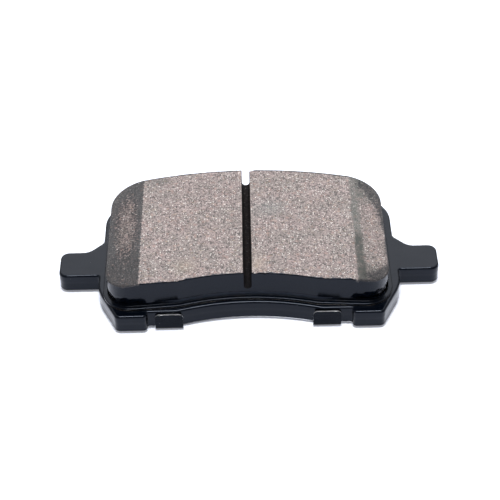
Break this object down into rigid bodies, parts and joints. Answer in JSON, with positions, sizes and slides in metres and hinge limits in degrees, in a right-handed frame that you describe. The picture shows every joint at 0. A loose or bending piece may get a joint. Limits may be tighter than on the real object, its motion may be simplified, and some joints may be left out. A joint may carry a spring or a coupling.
{
  "type": "disc brake pad",
  "caption": "Disc brake pad: slotted, end-chamfered friction block moulded on an eared black steel plate, with a rubber-coated noise shim hooked over the plate's edges.",
  "frame": {"origin": "at the level of the shim's outer surface, under the middle of the whole pad's box", "axes": "+X along the pad from ear to ear, +Y from the hub side to the rim side, +Z out of the backing plate towards the rotor"},
  "size_m": [0.132, 0.0684, 0.0178],
  "materials": {
    "black_powder_coat": "satin",
    "bonding_film": "gloss",
    "underlayer_compound": "matte",
    "friction_compound": "matte",
    "shim_adhesive": "matte",
    "shim_rubber": "satin",
    "shim_steel": "satin"
  },
  "bodies": {
    "root": {"backing_plate": "black_powder_coat", "adhesive_film": "bonding_film", "underlayer": "underlayer_compound", "friction_block": "friction_compound", "shim_adhesive": "shim_adhesive", "shim_inner_coat": "shim_rubber", "shim_steel_core": "shim_steel", "shim_outer_coat": "shim_rubber"}
  },
  "joints": []
}
